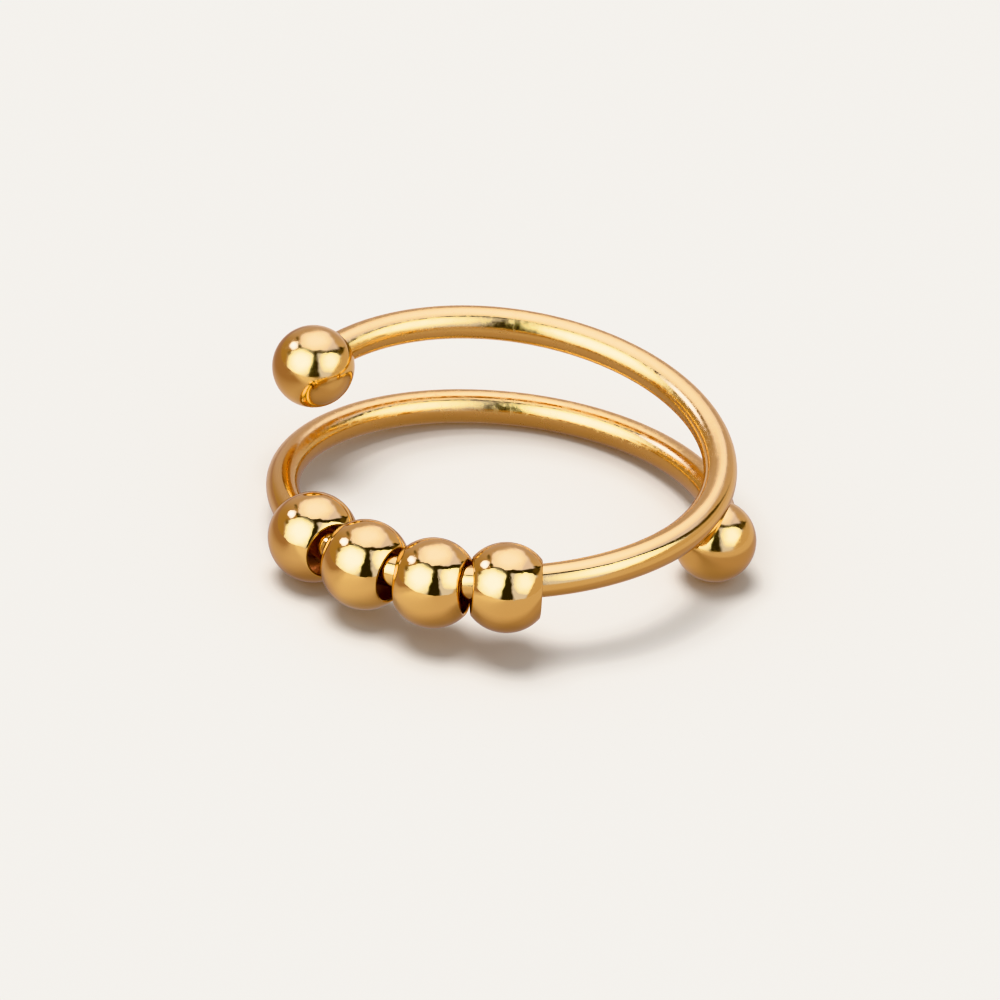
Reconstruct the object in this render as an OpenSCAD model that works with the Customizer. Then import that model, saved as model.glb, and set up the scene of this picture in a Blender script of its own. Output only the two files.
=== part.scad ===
/* [Wire] */
// Thickness of the round wire
wire_d = 1.48; // [1.3:0.01:1.6]
// Radius of the front bend, from the ring's axis to the middle of the wire
front_r = 9.6; // [9.4:0.05:10]
// How far the front bend runs to the right of the middle, in degrees
front_right = 45; // [40:1:50]
// How far the front bend runs to the left of the middle, in degrees
front_left = 75; // [72:1:78]
// Radius of the two loops that follow the front bend
loop_r = 9.65; // [9.5:0.05:10]
// How far the upper loop goes round before it ends in its ball, in degrees
upper_sweep = 195.5; // [180:0.5:200]
// How far the lower loop goes round before it ends in its ball, in degrees
lower_sweep = 208; // [190:0.5:210]

/* [End balls] */
// Diameter of the solid ball soldered on each end of the wire
ball_d = 3.65; // [3:0.05:4]

/* [Beads] */
// Diameter of each loose bead
bead_d = 4; // [3.9:0.05:4.1]
// Diameter of the hole through each bead
hole_d = 2.36; // [2.3:0.02:2.5]
// Thickness of the hollow bead's wall
bead_wall = 0.16; // [0.12:0.01:0.3]

/* [Rest on its side] */
// Lean of the front bend about the left to right line, where the ring lies on a table
lean_back = -4; // [-5:0.1:5]
// Lean of the front bend about the front to back line, where the ring lies on a table
lean_side = -5.4; // [-7:0.1:0]
// Height of the front bend's centre above the table
lift = 2.7; // [2:0.01:4]
// Where the front bend's centre lies from the middle of the resting ring, to the right
centre_x = -0.5; // [-2:0.01:2]
// and to the back
centre_y = 0.62; // [-2:0.01:2]

/* [Hidden] */
$fn = 48;
gold = "#D6A553";
// A stretch of wire slips this many degrees into the next one
lap = 1.5;
// and that next one is thicker by this at each side, so that their skins never coincide
skin = 0.004;
// Each loop leaves the front bend through two short bends, this long
ease = 16;
// Columns: sweep of one bend, and how far its plane is turned about the wire from the one before
UPPER = [[ease, 7.5], [ease, 3.5], [upper_sweep - 2 * ease, -0.5]];
LOWER = [[ease, 5], [ease, 2.5], [lower_sweep - 2 * ease, -1.5]];
// Columns: angle round the front bend, drop below the wire, shift outwards, turn in plan, dip to the right
BEADS = [
    [-151, 0.23, -0.14, 2, 1],
    [-129.6, 0.24, -0.19, 3, 2.5],
    [-108.7, 0.3, -0.14, 3.5, 0],
    [-89, 0.2, 0.08, 0, 4],
];
lip_r = bead_wall / 2 - 0.004;

// One bend of wire: it starts at the origin towards +X and curves to the left, round [0, radius]
module bend(radius, sweep, thick) {
    extra = thick ? 0 : lap;
    translate([0, radius, 0]) rotate([0, 0, -90 - extra])
        rotate_extrude(angle = sweep + 2 * extra) translate([radius, 0])
            circle(d = wire_d + (thick ? 2 * skin : 0));
}

// Carries what follows to the far end of a bend
module past_bend(radius, sweep) {
    translate([0, radius, 0]) rotate([0, 0, sweep]) translate([0, -radius, 0]) children();
}

// The bends of one loop in turn, and then the ball on its end
module loop(bends, i = 0) {
    if (i < len(bends)) rotate([bends[i][1], 0, 0]) {
        bend(loop_r, bends[i][0], i % 2 == 0);
        past_bend(loop_r, bends[i][0]) loop(bends, i + 1);
    }
    else sphere(d = ball_d);
}

// The ring as it lies, from the frame of its front bend: axis along Z, middle of the bend at -Y
module lying() {
    translate([centre_x, centre_y, lift]) rotate([lean_back, lean_side, 0]) children();
}

module band() {
    color(gold) lying() translate([0, -front_r, 0]) union() {
        past_bend(front_r, -front_left) bend(front_r, front_left + front_right, false);
        past_bend(front_r, front_right) loop(UPPER);
        past_bend(front_r, -front_left) rotate([0, 180, 0]) loop(LOWER);
    }
}

// Half of the bead's section, right of its bore: a curved wall with a round lip at each end
module bead_section() {
    middle_r = (bead_d - bead_wall) / 2;
    lip_x = hole_d / 2 + lip_r;
    lip_z = sqrt(middle_r * middle_r - lip_x * lip_x);
    intersection() {
        difference() {
            circle(d = bead_d, $fn = 96);
            circle(d = bead_d - 2 * bead_wall, $fn = 96);
        }
        polygon([[0, 0], 2 * [lip_x, -lip_z], [2 * bead_d, -bead_d], [2 * bead_d, bead_d], 2 * [lip_x, lip_z]]);
    }
    for (z = [-lip_z, lip_z]) translate([lip_x, z]) circle(r = lip_r, $fn = 24);
}

module bead(row) {
    color(gold) lying() rotate([0, 0, row[0]]) translate([front_r + row[2], 0, -row[1]])
        rotate([0, 0, row[3]]) rotate([90 - row[4], 0, 0]) rotate_extrude($fn = 96) bead_section();
}

module bead_1() bead(BEADS[0]);
module bead_2() bead(BEADS[1]);
module bead_3() bead(BEADS[2]);
module bead_4() bead(BEADS[3]);

band();
bead_1();
bead_2();
bead_3();
bead_4();
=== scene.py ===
import math

import bmesh
import bpy
from mathutils import Matrix, Quaternion, Vector


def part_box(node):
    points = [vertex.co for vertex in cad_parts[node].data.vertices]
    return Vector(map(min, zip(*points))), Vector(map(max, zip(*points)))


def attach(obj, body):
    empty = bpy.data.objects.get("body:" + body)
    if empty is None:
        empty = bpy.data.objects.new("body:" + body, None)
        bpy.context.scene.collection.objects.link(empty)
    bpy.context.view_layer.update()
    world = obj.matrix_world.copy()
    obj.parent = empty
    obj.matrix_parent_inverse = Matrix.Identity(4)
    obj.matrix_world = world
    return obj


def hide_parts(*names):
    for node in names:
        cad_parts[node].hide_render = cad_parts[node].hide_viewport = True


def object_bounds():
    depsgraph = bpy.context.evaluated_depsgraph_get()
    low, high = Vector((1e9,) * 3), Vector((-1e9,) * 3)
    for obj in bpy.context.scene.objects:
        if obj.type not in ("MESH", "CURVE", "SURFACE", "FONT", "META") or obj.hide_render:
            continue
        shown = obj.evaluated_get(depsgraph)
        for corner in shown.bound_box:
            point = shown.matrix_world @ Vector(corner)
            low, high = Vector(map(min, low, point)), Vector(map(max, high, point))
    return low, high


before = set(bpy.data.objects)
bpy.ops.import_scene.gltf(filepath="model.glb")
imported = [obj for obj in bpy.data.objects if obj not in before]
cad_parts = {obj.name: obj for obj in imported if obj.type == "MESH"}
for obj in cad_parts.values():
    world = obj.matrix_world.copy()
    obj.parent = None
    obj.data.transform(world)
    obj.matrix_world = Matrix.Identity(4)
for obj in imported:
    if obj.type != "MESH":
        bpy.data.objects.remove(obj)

mm = 0.001
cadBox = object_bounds()
scene = bpy.context.scene


# Small helpers

def toLinear(hexColour):
    channels = [int(hexColour[i:i + 2], 16) / 255 for i in (1, 3, 5)]
    return [c / 12.92 if c <= 0.04045 else ((c + 0.055) / 1.055) ** 2.4 for c in channels] + [1]


def emptyTree(owner):                 # of a material or the world
    owner.use_nodes = True
    owner.node_tree.nodes.clear()
    return owner.node_tree


def addNode(tree, kind, inputs=None, **settings):
    node = tree.nodes.new(kind)
    for name, value in settings.items():
        setattr(node, name, value)
    for name, value in (inputs or {}).items():     # by the input's name or number
        if isinstance(value, bpy.types.NodeSocket):
            tree.links.new(value, node.inputs[name])
        else:
            node.inputs[name].default_value = value
    return node


def turn(degrees, axis):
    return Matrix.Rotation(math.radians(degrees), 4, axis)


def shift(x, y, z):
    return Matrix.Translation(Vector((x, y, z)) * mm)


def pastBend(radius, sweep):          # carries a frame from one end of a bend to the other
    return shift(0, radius, 0) @ turn(sweep, "Z") @ shift(0, -radius, 0)


def finishPiece(bm, name, node, materials):
    bmesh.ops.recalc_face_normals(bm, faces=bm.faces)
    mesh = bpy.data.meshes.new(name)
    bm.to_mesh(mesh)
    bm.free()
    for face in mesh.polygons:
        face.use_smooth = True
    for material in materials:
        mesh.materials.append(material)
    piece = bpy.data.objects.new(name, mesh)
    scene.collection.objects.link(piece)
    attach(piece, node)               # every node has a body of its own name
    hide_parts(node)
    low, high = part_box(node)
    corners = [piece.matrix_world @ Vector(c) for c in piece.bound_box]
    off = [max(abs(min(c[i] for c in corners) - low[i]), abs(max(c[i] for c in corners) - high[i]))
           for i in range(3)]
    print(f"{name}: {len(mesh.polygons)} faces, its box within {max(off) / mm:.3f} mm of the solid's")


# How the ring lies on its side: from the frame of its front bend to the table

rest = {
    "leanBack": -4,              # degrees
    "leanSide": -5.4,
    "lift": 2.7,                 # mm from here on
    "centreX": -0.5,
    "centreY": 0.62,
}
lying = (shift(rest["centreX"], rest["centreY"], rest["lift"])
         @ turn(rest["leanSide"], "Y") @ turn(rest["leanBack"], "X"))


# Gold

gold = {
    "colour": "#F1C47C",         # warm yellow gold plate
    "warmColour": "#EEBD6E",     # the same plate where it is a little redder
    "insidePaintedShadeColour": "#AE6636",   # inside of a bead, where no polishing wheel reaches, darkened with painted shade of its hollow
    "insideWarmPaintedShadeColour": "#9C5330",         # and there where it is redder, with the same painted shade
    "toneSize": 3.5,             # mm, size of a patch of one tone
    "wireRoughness": 0.11,
    "ballRoughness": 0.115,
    "beadRoughness": 0.045,
    "insideRoughness": 0.38,
    "hazeSize": 0.32,            # mm, size of the patches that are smoother or duller than the rest
    "hazeEnds": (0.35, 0.7),     # values of the noise between which they change
    "hazeShares": (0.7, 1.6),    # and what the roughness is multiplied by there
    "palmWear": 1.8,             # the wire is this much rougher at the back, where it rubs inside the hand
    "palmWearEnds": (-4, 8),     # mm, from the front to the back, the wear grows between these
    "waveSize": 0.8,             # mm, length of the soft waves that hand polishing leaves
    "wireWave": 0.006,           # mm, their height on the wire
    "ballWave": 0.002,           # on the turned balls
    "beadWave": 0.014,           # and on the thin pressed beads
    "pitSize": 0.16,             # mm, spacing of the pits, drawn coarser than real ones so that they show
    "pitReach": 0.25,            # radius of a pit as a share of that spacing
    "pitDepth": 0.0012,          # mm
}


def goldMaterial(name, rough, waveHeight, dull=False, worn=False):
    material = bpy.data.materials.new(name)
    tree = emptyTree(material)
    place = addNode(tree, "ShaderNodeTexCoord").outputs["Object"]

    tone = addNode(tree, "ShaderNodeTexNoise",
                   {"Vector": place, "Scale": 1 / (gold["toneSize"] * mm), "Detail": 2.0})
    # the inside colours are dull metal darkened with painted shade of the bead's hollow
    plain, warm = ("insidePaintedShadeColour", "insideWarmPaintedShadeColour") if dull else ("colour", "warmColour")
    colour = addNode(tree, "ShaderNodeMix",
                     {0: tone.outputs["Fac"], 6: toLinear(gold[plain]), 7: toLinear(gold[warm])},
                     data_type="RGBA")

    haze = addNode(tree, "ShaderNodeTexNoise",
                   {"Vector": place, "Scale": 1 / (gold["hazeSize"] * mm), "Detail": 4.0})
    smooth, hazy = [rough * share for share in gold["hazeShares"]]
    roughness = addNode(tree, "ShaderNodeMapRange",
                        {"Value": haze.outputs["Fac"], "From Min": gold["hazeEnds"][0],
                         "From Max": gold["hazeEnds"][1], "To Min": smooth, "To Max": hazy}).outputs["Result"]
    if worn:
        depth = addNode(tree, "ShaderNodeSeparateXYZ", {0: place}).outputs["Y"]
        front, back = [end * mm for end in gold["palmWearEnds"]]
        wear = addNode(tree, "ShaderNodeMapRange", {"Value": depth, "From Min": front, "From Max": back,
                                                    "To Min": 1.0, "To Max": gold["palmWear"]})
        roughness = addNode(tree, "ShaderNodeMath", {0: roughness, 1: wear.outputs["Result"]},
                            operation="MULTIPLY").outputs[0]

    wave = addNode(tree, "ShaderNodeTexNoise",
                   {"Vector": place, "Scale": 1 / (gold["waveSize"] * mm), "Detail": 2.0})
    waves = addNode(tree, "ShaderNodeBump",
                    {"Height": wave.outputs["Fac"], "Strength": 1.0, "Distance": waveHeight * mm})
    pit = addNode(tree, "ShaderNodeTexVoronoi", {"Vector": place, "Scale": 1 / (gold["pitSize"] * mm)})
    dimple = addNode(tree, "ShaderNodeMapRange",
                     {"Value": pit.outputs["Distance"], "From Min": 0.0, "From Max": gold["pitReach"]})
    pits = addNode(tree, "ShaderNodeBump",
                   {"Height": dimple.outputs["Result"], "Normal": waves.outputs["Normal"],
                    "Strength": 1.0, "Distance": gold["pitDepth"] * mm})

    surface = addNode(tree, "ShaderNodeBsdfPrincipled",
                      {"Base Color": colour.outputs[2], "Metallic": 1.0, "Roughness": roughness,
                       "Normal": pits.outputs["Normal"]})
    addNode(tree, "ShaderNodeOutputMaterial", {"Surface": surface.outputs["BSDF"]})
    return material


# Wire that is drawn, bent and then only tumbled: bright, with slightly soft and wavering reflections
wireGold = goldMaterial("gold plate on drawn brass wire", gold["wireRoughness"], gold["wireWave"], worn=True)
# Turned balls, tumbled with the wire: smooth reflections with soft edges
ballGold = goldMaterial("gold plate on turned brass balls", gold["ballRoughness"], gold["ballWave"])
# Beads pressed from thin sheet and buffed: nearly a mirror, its edges crooked where the sheet is uneven
beadGold = goldMaterial("buffed gold plate on pressed brass beads", gold["beadRoughness"], gold["beadWave"])
# Their inner face, which plating and buffing hardly reach: dull, brown and half in shadow, its colour
# darkened further with painted shade
insidePaintedShadeGold = goldMaterial("bare pressed brass inside the beads with painted shade", gold["insideRoughness"], gold["beadWave"],
                          dull=True)
print("gold materials made")


# Band: the wire and its two end balls in one skin

band = {
    "wire": 1.48,                # mm, thickness
    "frontRadius": 9.6,
    "frontRight": 45,            # degrees
    "frontLeft": 75,
    "loopRadius": 9.65,
    "upperBends": [(16, 7.5), (16, 3.5), (163.5, -0.5)],    # sweep, and turn about the wire before it
    "lowerBends": [(16, 5), (16, 2.5), (176, -1.5)],
    "ball": 3.65,                # mm
    "solderFillet": 0.22,        # mm, radius of the solder between wire and ball
    "sides": 64,                 # points round the wire
    "stepAngle": 1.5,            # degrees of a bend from one ring of points to the next
    "filletSteps": 8,            # rings over the solder
    "ballStep": 3,               # degrees from one ring to the next over the ball
}


def spinOn(bm, edges, place, radius, sweep):
    steps = max(2, round(sweep / band["stepAngle"]))
    made = bmesh.ops.spin(bm, geom=edges, cent=place @ Vector((0, radius * mm, 0)),
                          axis=place.to_3x3() @ Vector((0, 0, 1)), angle=math.radians(sweep), steps=steps)
    return [e for e in made["geom_last"] if isinstance(e, bmesh.types.BMEdge)]


def ballProfile():
    # Each ring's distance from the ball's centre and its radius: from the end of the wire over the solder,
    # and then round the ball
    ball, wire, fillet = band["ball"] / 2, band["wire"] / 2, band["solderFillet"]
    middle = Vector((math.sqrt((ball + fillet) ** 2 - (wire + fillet) ** 2), wire + fillet))
    reach = math.degrees(math.acos(middle.y / middle.length))
    rows = []
    for i in range(band["filletSteps"] + 1):
        angle = math.radians(-90 - reach * i / band["filletSteps"])
        rows.append((middle.x + fillet * math.cos(angle), middle.y + fillet * math.sin(angle)))
    start = math.degrees(math.atan2(middle.y, middle.x))
    count = round((180 - start) / band["ballStep"])
    for i in range(1, count + 1):
        angle = math.radians(start + (180 - start) * i / count)
        rows.append((ball * math.cos(angle), ball * math.sin(angle)))
    return rows


def addBall(bm, edges, place, centre):
    # place is the frame at the end of the wire: the rings of the solder lean over, from across the wire
    # to across the line from the ball's centre
    rows = ballProfile()
    line = (place.translation - centre).normalized()
    lean = line.rotation_difference(-(place.to_3x3() @ Vector((1, 0, 0))))
    across = line.to_track_quat("Z", "Y").to_matrix().to_4x4()

    def ringFrame(i):
        along, radius = rows[i]
        ease = Quaternion().slerp(lean, max(0.0, 1 - i / band["filletSteps"]))
        return (Matrix.Translation(centre + line * along * mm) @ ease.to_matrix().to_4x4() @ across
                @ Matrix.Diagonal((radius, radius, radius, 1)))

    for i in range(1, len(rows)):
        made = bmesh.ops.extrude_edge_only(bm, edges=edges)["geom"]
        verts = [v for v in made if isinstance(v, bmesh.types.BMVert)]
        if i > band["filletSteps"]:        # past the solder
            for face in {f for v in verts for f in v.link_faces}:
                face.material_index = 1
        if i == len(rows) - 1:
            bmesh.ops.pointmerge(bm, verts=verts, merge_co=centre - line * band["ball"] / 2 * mm)
            break
        bmesh.ops.transform(bm, matrix=ringFrame(i) @ ringFrame(i - 1).inverted(), verts=verts)
        ends = set(verts)
        edges = [e for e in made if isinstance(e, bmesh.types.BMEdge) and set(e.verts) <= ends]


def makeBand():
    bm = bmesh.new()
    front = lying @ shift(0, -band["frontRadius"], 0)
    left = front @ pastBend(band["frontRadius"], -band["frontLeft"])
    right = front @ pastBend(band["frontRadius"], band["frontRight"])
    bmesh.ops.create_circle(bm, segments=band["sides"], radius=band["wire"] / 2 * mm,
                            matrix=left @ turn(90, "Y"))
    firstRing = list(bm.edges)
    lastRing = spinOn(bm, firstRing, left, band["frontRadius"], band["frontLeft"] + band["frontRight"])
    # The wire stops short of its ball's centre, where the solder begins
    short = 2 * math.degrees(math.asin(ballProfile()[0][0] / 2 / band["loopRadius"]))
    loops = [(lastRing, right, band["upperBends"]), (firstRing, left @ turn(180, "Y"), band["lowerBends"])]
    for edges, place, bends in loops:
        for i, (sweep, lean) in enumerate(bends):
            place = place @ turn(lean, "X")
            whole = place @ pastBend(band["loopRadius"], sweep)
            if i == len(bends) - 1:
                sweep -= short
            edges = spinOn(bm, edges, place, band["loopRadius"], sweep)
            place = place @ pastBend(band["loopRadius"], sweep)
        addBall(bm, edges, place, whole.translation)
    finishPiece(bm, "bandSkin", "band", [wireGold, ballGold])


makeBand()


# Beads: hollow, pressed from thin sheet, with a rolled lip round each hole

bead = {
    "size": 4.0,                 # mm
    "hole": 2.36,
    "wall": 0.16,
    "dullFrom": 0.6,             # share of the wall's thickness past which a face is inside: dull, its colour darkened with painted shade
    "sides": 96,                 # points round the hole
    "outsideSteps": 44,          # along the section, from lip to lip
    "lipSteps": 10,
    "insideSteps": 30,
    "weld": 0.001,               # mm, where the section's turns meet
    # angle round the front bend, drop below the wire, shift outwards, turn in plan, dip to the right
    "places": [
        (-151, 0.23, -0.14, 2, 1),
        (-129.6, 0.24, -0.19, 3, 2.5),
        (-108.7, 0.3, -0.14, 3.5, 0),
        (-89, 0.2, 0.08, 0, 4),
    ],
}


def makeBead(number, angle, drop, out, plan, dip):
    size, wall = bead["size"] / 2, bead["wall"]
    lipX = bead["hole"] / 2 + wall / 2
    lipZ = math.sqrt((size - wall / 2) ** 2 - lipX ** 2)
    lipAngle = math.atan2(lipZ, lipX)          # from the bead's middle plane up to its lip
    bm = bmesh.new()
    start = Vector((math.cos(lipAngle), 0, -math.sin(lipAngle))) * size * mm
    tip = bmesh.ops.create_vert(bm, co=start)["vert"]
    turns = [     # centre of each turn of the section, how far it goes, and in how many steps
        ((0, 0), 2 * lipAngle, bead["outsideSteps"]),
        ((lipX, lipZ), math.pi, bead["lipSteps"]),
        ((0, 0), -2 * lipAngle, bead["insideSteps"]),
        ((lipX, -lipZ), math.pi, bead["lipSteps"]),
    ]
    for (x, z), sweep, steps in turns:
        made = bmesh.ops.spin(bm, geom=tip, cent=Vector((x, 0, z)) * mm, axis=(0, -1, 0), angle=sweep,
                              steps=steps)
        tip = [v for v in made["geom_last"] if isinstance(v, bmesh.types.BMVert)]
    bmesh.ops.remove_doubles(bm, verts=bm.verts, dist=bead["weld"] * mm)
    bmesh.ops.spin(bm, geom=list(bm.verts) + list(bm.edges), cent=(0, 0, 0), axis=(0, 0, 1),
                   angle=2 * math.pi, steps=bead["sides"], use_merge=True)
    for face in bm.faces:
        depth = size - face.calc_center_median().length / mm
        face.material_index = 1 if depth > wall * bead["dullFrom"] else 0
    place = lying @ turn(angle, "Z") @ shift(band["frontRadius"] + out, 0, -drop) @ turn(plan, "Z")
    bmesh.ops.transform(bm, matrix=place @ turn(90 - dip, "X"), verts=bm.verts)
    finishPiece(bm, f"beadSkin{number}", f"bead_{number}", [beadGold, insidePaintedShadeGold])


for number, row in enumerate(bead["places"], 1):
    makeBead(number, *row)


# Camera: the photograph's view of the front bend, nearly without perspective

view = {
    "elevation": 27.4,           # degrees above the plane of the front bend
    "roll": -0.7,
    "picture": 1000,             # pixels wide and high
    "scale": 22.75,              # pixels for a millimetre
    "originX": 501.22,           # pixel of the front bend's centre
    "originY": 481.75,
    "lens": 1500,                # mm
    "sensor": 36,
    "clip": (0.01, 10),          # m
}
roll, rise = math.radians(view["roll"]), math.radians(view["elevation"])
toRight = Vector((math.cos(roll), math.sin(roll) * math.sin(rise), math.sin(roll) * math.cos(rise)))
toTop = Vector((-math.sin(roll), math.cos(roll) * math.sin(rise), math.cos(roll) * math.cos(rise)))
toCamera = Vector((0, -math.cos(rise), math.sin(rise)))
middle = view["picture"] / 2
target = (toRight * (middle - view["originX"]) + toTop * (view["originY"] - middle)) / view["scale"]
distance = view["picture"] / view["scale"] * view["lens"] / view["sensor"]      # mm
camera = bpy.data.objects.new("camera", bpy.data.cameras.new("camera"))
camera.data.sensor_width = view["sensor"]
camera.data.lens = view["lens"]
camera.data.clip_start, camera.data.clip_end = view["clip"]
camera.matrix_world = (lying @ Matrix.Translation((target + toCamera * distance) * mm)
                       @ Matrix((toRight, toTop, toCamera)).transposed().to_4x4())
scene.collection.objects.link(camera)
scene.camera = camera
print("camera placed", [round(c, 4) for c in camera.matrix_world.translation])


# Studio: white panels round the ring with dark seams between them, mirrored by the gold alone.
# A light is its red, green and blue brightness. Places are where a polished ball of radius 1, seen from
# the front, would mirror them, to the right and up. An edge is a line across that ball: its turn to the
# right and up, its offset and its softness, and inside is where right * x + up * y + offset is above 0.

studio = {
    "backdrop": 1.1,             # brightness of what the camera sees past the floor
    "evenLight": 0.5,            # soft light from all round, on the floor
    "warp": 0.11,                # how crooked the seams are
    "warpScale": 6.0,
    "secondMirror": 0.45,        # share of the panels' light in what gold mirrors of other gold
    "leftSide": (0.48, 0.37, 0.28),
    "sides": [                   # light from the right and from above, laid over the left side's
        ((0.70, 0.62, 0.60), [(1, 0, 0.6, 1.2)]),
        ((0.61, 0.54, 0.62), [(0, 1, -0.35, 0.45), (1, 0, 0.8, 0.5)]),
    ],
    "seams": ((0.03, 0.03, 0.03), [(1, 0, 0.36, 0.03), (0, -1, 0.465, 0.02), (-0.882, 0.47, 0.475, 0.03)]),
    "panelFade": (1.0, 0.2),     # share of the reach, from the rim's light to the middle's
    # Light at the rim and in the middle, the middle's place, its reach to the right and up, and the edges.
    # Later panels cover earlier ones.
    "panels": {
        "top": ((0.9, 1.03, 1.95), (4.0, 4.5, 5.6), (0.06, 0.62), (0.44, 0.3),
                [(0.952, -0.306, 0.53, 0.06), (0.447, -0.894, 0.85, 0.08), (0, -1, 0.9, 0.1),
                 (-0.468, -0.884, 0.91, 0.08), (-0.855, -0.518, 0.785, 0.08), (0.278, 0.96, -0.363, 0.03),
                 (-0.03, 1, -0.364, 0.03)]),
        "left": ((0.85, 1.02, 1.6), (10, 13, 15), (-0.29, 0.1), (0.38, 0.36),
                 [(0.258, -0.966, 0.497, 0.03), (-0.447, -0.894, 0.36, 0.2), (-0.971, 0.24, -0.028, 0.08),
                  (1, 0, 0.66, 0.1)]),
        "right": ((0.85, 1.05, 1.9), (7.5, 9.5, 10), (0.41, 0.12), (0.28, 0.3),
                  [(0.992, 0.13, -0.088, 0.07), (0, -1, 0.325, 0.03), (-0.3, -0.954, 0.457, 0.04),
                   (-0.882, 0.47, 0.5, 0.06)]),
    },
    "spots": {                   # light, centre, radius and softness
        "blotch": ((0.11, 0.09, 0.07), (0.65, 0.35), 0.11, 0.1),
        "clip": ((0.06, 0.06, 0.05), (-0.33, 0.5), 0.08, 0.06),
        "clipAbove": ((0.2, 0.18, 0.2), (-0.39, 0.67), 0.06, 0.05),
        "clipBelow": ((0.25, 0.2, 0.15), (-0.58, 0.32), 0.08, 0.07),
        "bulb": ((9, 13, 30), (-0.48, 0.51), 0.11, 0.1),
    },
}


def ballPlace(tree):
    # The ball mirrors a direction where its surface faces half-way between that direction and the front
    direction = addNode(tree, "ShaderNodeTexCoord").outputs["Generated"]
    right, up, front = [Vector(camera.matrix_world.col[i][:3]) for i in range(3)]
    half = addNode(tree, "ShaderNodeVectorMath", {0: direction, 1: front}, operation="ADD")
    half = addNode(tree, "ShaderNodeVectorMath", {0: half.outputs[0]}, operation="NORMALIZE")
    x, y = [addNode(tree, "ShaderNodeVectorMath", {0: half.outputs[0], 1: axis}, operation="DOT_PRODUCT")
            for axis in (right, up)]
    place = addNode(tree, "ShaderNodeCombineXYZ",
                    {"X": x.outputs["Value"], "Y": y.outputs["Value"], "Z": 1.0})
    return place.outputs[0]


def warpedPlace(tree, place):
    warp = studio["warp"]
    noise = addNode(tree, "ShaderNodeTexNoise",
                    {"Vector": place, "Scale": studio["warpScale"], "Detail": 1.6})
    offset = addNode(tree, "ShaderNodeVectorMath", {0: noise.outputs["Color"], 1: (0.5, 0.5, 0.5)},
                     operation="SUBTRACT")       # 0.5 is the noise's middle
    offset = addNode(tree, "ShaderNodeVectorMath", {0: offset.outputs[0], 1: (warp, warp, 0)},
                     operation="MULTIPLY")
    return addNode(tree, "ShaderNodeVectorMath", {0: place, 1: offset.outputs[0]}, operation="ADD").outputs[0]


def insideEdges(tree, place, edges):
    share = 1.0
    for *edge, softness in edges:
        depth = addNode(tree, "ShaderNodeVectorMath", {0: place, 1: edge}, operation="DOT_PRODUCT")
        part = addNode(tree, "ShaderNodeMapRange",
                       {"Value": depth.outputs["Value"], "From Min": 0.0, "From Max": softness},
                       interpolation_type="SMOOTHSTEP")
        share = addNode(tree, "ShaderNodeMath", {0: share, 1: part.outputs["Result"]},
                        operation="MULTIPLY").outputs[0]
    return share


def panelLight(tree, place, rim, centreLight, centre, reach):
    start, full = studio["panelFade"]
    away = addNode(tree, "ShaderNodeVectorMath", {0: place, 1: (*centre, 1)}, operation="SUBTRACT")
    away = addNode(tree, "ShaderNodeVectorMath", {0: away.outputs[0], 1: (*reach, 1)}, operation="DIVIDE")
    away = addNode(tree, "ShaderNodeVectorMath", {0: away.outputs[0]}, operation="LENGTH")
    share = addNode(tree, "ShaderNodeMapRange",
                    {"Value": away.outputs["Value"], "From Min": start, "From Max": full},
                    interpolation_type="SMOOTHSTEP")
    return addNode(tree, "ShaderNodeMix", {0: share.outputs["Result"], 6: (*rim, 1), 7: (*centreLight, 1)},
                   data_type="RGBA").outputs[2]


def insideSpot(tree, place, centre, radius, softness):
    away = addNode(tree, "ShaderNodeVectorMath", {0: place, 1: (*centre, 1)}, operation="DISTANCE")
    return addNode(tree, "ShaderNodeMapRange",
                   {"Value": away.outputs["Value"], "From Min": radius, "From Max": radius - softness},
                   interpolation_type="SMOOTHSTEP").outputs["Result"]


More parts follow.
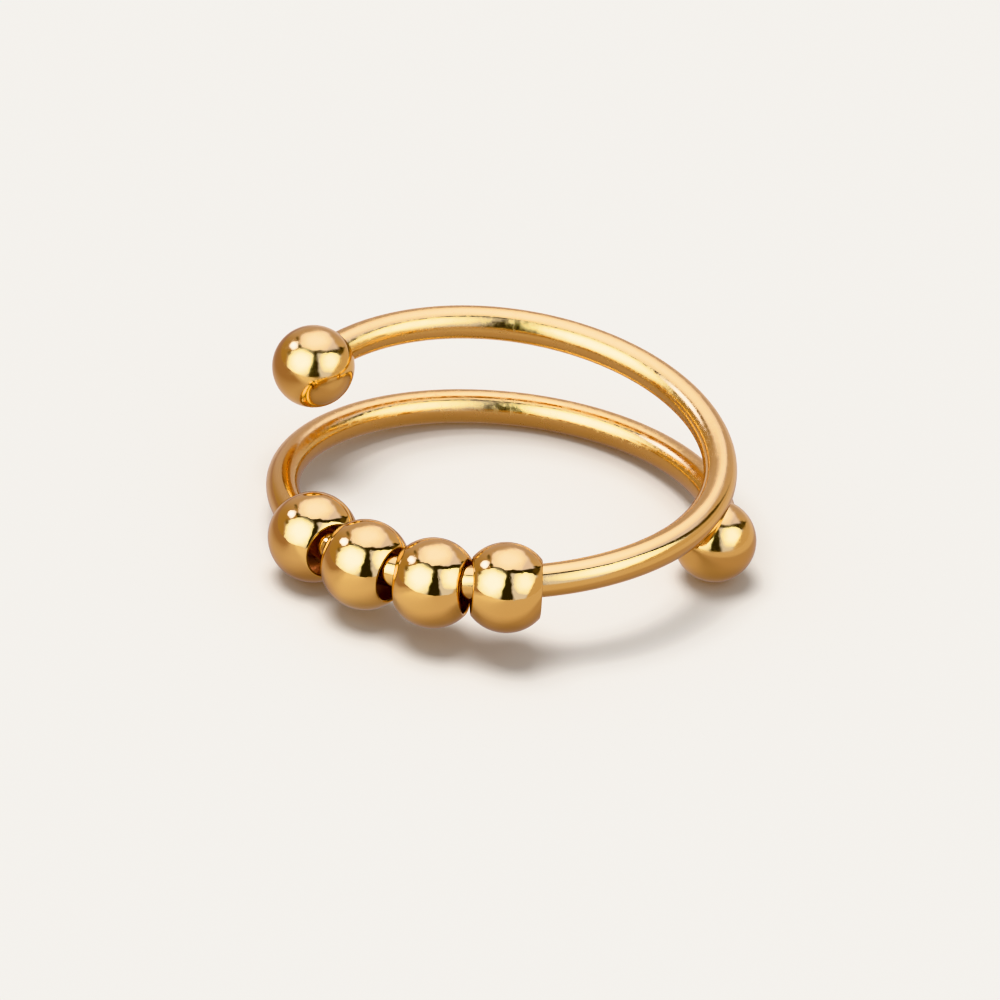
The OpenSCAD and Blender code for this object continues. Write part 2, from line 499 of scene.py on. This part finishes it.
def makeStudio():
    scene.world = bpy.data.worlds.new("studio")
    tree = emptyTree(scene.world)
    straight = ballPlace(tree)
    crooked = warpedPlace(tree, straight)

    # Each light covers the ones before it
    layers = [(insideEdges(tree, straight, edges), (*light, 1)) for light, edges in studio["sides"]]
    seamLight, edges = studio["seams"]
    layers.append((insideEdges(tree, crooked, edges), (*seamLight, 1)))
    for *light, edges in studio["panels"].values():
        layers.append((insideEdges(tree, crooked, edges), panelLight(tree, crooked, *light)))
    for light, *spot in studio["spots"].values():
        layers.append((insideSpot(tree, crooked, *spot), (*light, 1)))
    mirrored = (*studio["leftSide"], 1)
    for share, light in layers:
        mirrored = addNode(tree, "ShaderNodeMix", {0: share, 6: mirrored, 7: light},
                           data_type="RGBA").outputs[2]

    # The panels are for the gold alone: the floor gets the even light, so that it stays plain
    path = addNode(tree, "ShaderNodeLightPath").outputs
    strength = addNode(tree, "ShaderNodeMapRange",
                       {"Value": path["Glossy Depth"], "From Min": 1.0, "From Max": 2.0,
                        "To Min": 1.0, "To Max": studio["secondMirror"]})
    panels = addNode(tree, "ShaderNodeBackground",
                     {"Color": mirrored, "Strength": strength.outputs["Result"]})
    even = addNode(tree, "ShaderNodeBackground", {"Color": (1, 1, 1, 1), "Strength": studio["evenLight"]})
    past = [c * studio["backdrop"] for c in toLinear(board["colour"])[:3]] + [1]
    backdrop = addNode(tree, "ShaderNodeBackground", {"Color": past, "Strength": 1.0})
    direct = addNode(tree, "ShaderNodeMath", {0: path["Diffuse Depth"], 1: 0.5}, operation="LESS_THAN")
    byGold = addNode(tree, "ShaderNodeMath", {0: path["Is Glossy Ray"], 1: direct.outputs[0]},
                     operation="MULTIPLY")
    light = addNode(tree, "ShaderNodeMixShader",
                    {0: byGold.outputs[0], 1: even.outputs[0], 2: panels.outputs[0]})
    light = addNode(tree, "ShaderNodeMixShader",
                    {0: path["Is Camera Ray"], 1: light.outputs[0], 2: backdrop.outputs[0]})
    addNode(tree, "ShaderNodeOutputWorld", {"Surface": light.outputs[0]})


# Floor: a pale board that the gold mirrors in a darker painted tone than the camera sees, with painted shade,
# light and glow laid over it

board = {
    "colour": "#F4F1EC",
    "size": 6.0,                 # m
    "gap": 0.005,                # mm below the ring, so that the two don't share a plane
    "light": "#C9C1C4",          # as the gold mirrors it, out in the open: a painted tone, darker than the board the camera sees
    "paintedShade": "#9D898B",           # painted soft shade
    "paintedSpill": "#E3E2E4",          # painted light, where the left panel lights it
    "footCentre": (3, -1, 0),    # mm, middle of the painted shade round the ring's foot
    "footStretch": 1.3,          # its width from left to right, with its depth as 1
    # Painted shade and painted light, laid over the light tone in turn: how its two fades join, then for each
    # fade what it follows, the two values between which it changes, and the tone's share at each. Foot is mm
    # from the foot's middle, right is mm to the right, and bearing is 1 at the back, 0 at the sides and -1 at
    # the front.
    "tones": [
        ("paintedShade", "MINIMUM", ("foot", (4, 9), (0.25, 0.6)), ("foot", (11.5, 17), (1, 0))),
        ("paintedShade", "MULTIPLY", ("right", (-22, -8), (1, 0)), ("bearing", (-0.58, -0.35), (0, 1))),
        ("paintedSpill", "MULTIPLY", ("right", (-18, 0), (1, 0)), ("bearing", (-0.72, -0.58), (1, 0))),
    ],
    "glowShare": 0.5,            # share of the mirrored tone that is a painted glow, which the ring's own shadow doesn't darken
    # brightness of that painted glow
    "glowStrength": 1.3,
}


def boardMeasures(tree):
    place = addNode(tree, "ShaderNodeTexCoord").outputs["Object"]
    place = addNode(tree, "ShaderNodeVectorMath", {0: place, "Scale": 1 / mm}, operation="SCALE").outputs[0]
    foot = addNode(tree, "ShaderNodeVectorMath", {0: place, 1: board["footCentre"]}, operation="SUBTRACT")
    foot = addNode(tree, "ShaderNodeVectorMath", {0: foot.outputs[0], 1: (1, board["footStretch"], 0)},
                   operation="MULTIPLY")
    foot = addNode(tree, "ShaderNodeVectorMath", {0: foot.outputs[0]}, operation="LENGTH")
    bearing = addNode(tree, "ShaderNodeVectorMath", {0: place}, operation="NORMALIZE")
    return {
        "foot": foot.outputs["Value"],
        "right": addNode(tree, "ShaderNodeSeparateXYZ", {0: place}).outputs["X"],
        "bearing": addNode(tree, "ShaderNodeSeparateXYZ", {0: bearing.outputs[0]}).outputs["Y"],
    }


def makeBoard():
    bm = bmesh.new()
    bmesh.ops.create_grid(bm, x_segments=1, y_segments=1, size=board["size"] / 2)
    mesh = bpy.data.meshes.new("floor")
    bm.to_mesh(mesh)
    bm.free()
    floor = bpy.data.objects.new("floor", mesh)
    floor.location.z = cadBox[0].z - board["gap"] * mm
    scene.collection.objects.link(floor)

    # Matt white board: no gloss of its own, so the camera sees one even tone and the ring's soft shadow. The
    # gold mirrors a painted copy: a darker tone with painted shade and light, half of it a painted glow
    material = bpy.data.materials.new("matt white board")
    mesh.materials.append(material)
    tree = emptyTree(material)
    measures = boardMeasures(tree)
    # The tone the gold mirrors: painted, darker than the board, with painted shade and light laid over it in
    # turn
    tone = toLinear(board["light"])
    for colour, join, *fades in board["tones"]:
        first, second = [addNode(tree, "ShaderNodeMapRange",
                                 {"Value": measures[measure], "From Min": start, "From Max": end,
                                  "To Min": before, "To Max": after}, interpolation_type="SMOOTHSTEP")
                         for measure, (start, end), (before, after) in fades]
        share = addNode(tree, "ShaderNodeMath", {0: first.outputs["Result"], 1: second.outputs["Result"]},
                        operation=join)
        tone = addNode(tree, "ShaderNodeMix", {0: share.outputs[0], 6: tone, 7: toLinear(board[colour])},
                       data_type="RGBA").outputs[2]
    seen = addNode(tree, "ShaderNodeBsdfDiffuse", {"Color": toLinear(board["colour"])})
    shaded = addNode(tree, "ShaderNodeBsdfDiffuse", {"Color": tone})
    # Painted glow: the mirrored board gives off light of its own, though it is no lamp
    glow = addNode(tree, "ShaderNodeEmission", {"Color": tone, "Strength": board["glowStrength"]})
    mirrored = addNode(tree, "ShaderNodeMixShader",
                       {0: board["glowShare"], 1: shaded.outputs[0], 2: glow.outputs[0]})
    # The camera sees the plain board, the gold the painted copy
    path = addNode(tree, "ShaderNodeLightPath")
    surface = addNode(tree, "ShaderNodeMixShader",
                      {0: path.outputs["Is Glossy Ray"], 1: seen.outputs[0], 2: mirrored.outputs[0]})
    addNode(tree, "ShaderNodeOutputMaterial", {"Surface": surface.outputs[0]})


makeStudio()
makeBoard()


# Overhead light: large and soft, for the floor's shadow

overhead = {
    "strength": 2.6,             # W/m2
    "spread": 40,                # degrees
    "from": (-0.1, 0.08, 0.5),   # m
}
lamp = bpy.data.objects.new("overhead light", bpy.data.lights.new("overhead light", "SUN"))
lamp.data.energy = overhead["strength"]
lamp.data.angle = math.radians(overhead["spread"])
lamp.location = overhead["from"]
lamp.rotation_euler = lamp.location.to_track_quat("Z", "Y").to_euler()
lamp.visible_glossy = False      # the gold doesn't mirror it
scene.collection.objects.link(lamp)
scene.view_settings.view_transform = "Khronos PBR Neutral"
print("studio made")
